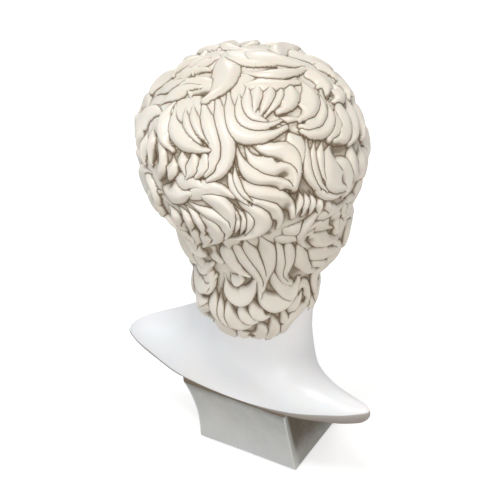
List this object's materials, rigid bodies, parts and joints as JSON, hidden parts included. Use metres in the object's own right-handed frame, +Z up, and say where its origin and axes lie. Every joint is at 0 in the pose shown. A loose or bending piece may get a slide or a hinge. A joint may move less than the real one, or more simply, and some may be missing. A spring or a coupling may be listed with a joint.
{
  "type": "marble bust",
  "caption": "Classical bust with a thick cap of curled hair and bare shoulders, pinned to a four-sided hollow-faced socle, resting on felt.",
  "frame": {"origin": "centre of the felt pad's underside, the face the bust rests on", "axes": "+Z up, the shoulders face -Y, +X towards the sitter's left"},
  "size_m": [0.191, 0.1396, 0.3081],
  "materials": {
    "bust_marble": "white marble, softly polished, with a brown antique wash left in the hair's grooves",
    "socle_marble": "white marble, honed to a soft satin",
    "mastic": "set stone mastic",
    "brass": "turned brass",
    "steel": "zinc plated steel",
    "felt": "black self-adhesive felt"
  },
  "bodies": {
    "root": {"bust": "bust_marble", "socle": "socle_marble", "bedding_mastic": "mastic", "anchor_sleeve": "brass", "threaded_rod": "steel", "dowel_left": "steel", "dowel_right": "steel", "load_washer": "steel", "lock_washer": "steel", "clamp_nut": "steel", "felt_pad": "felt"}
  },
  "joints": []
}
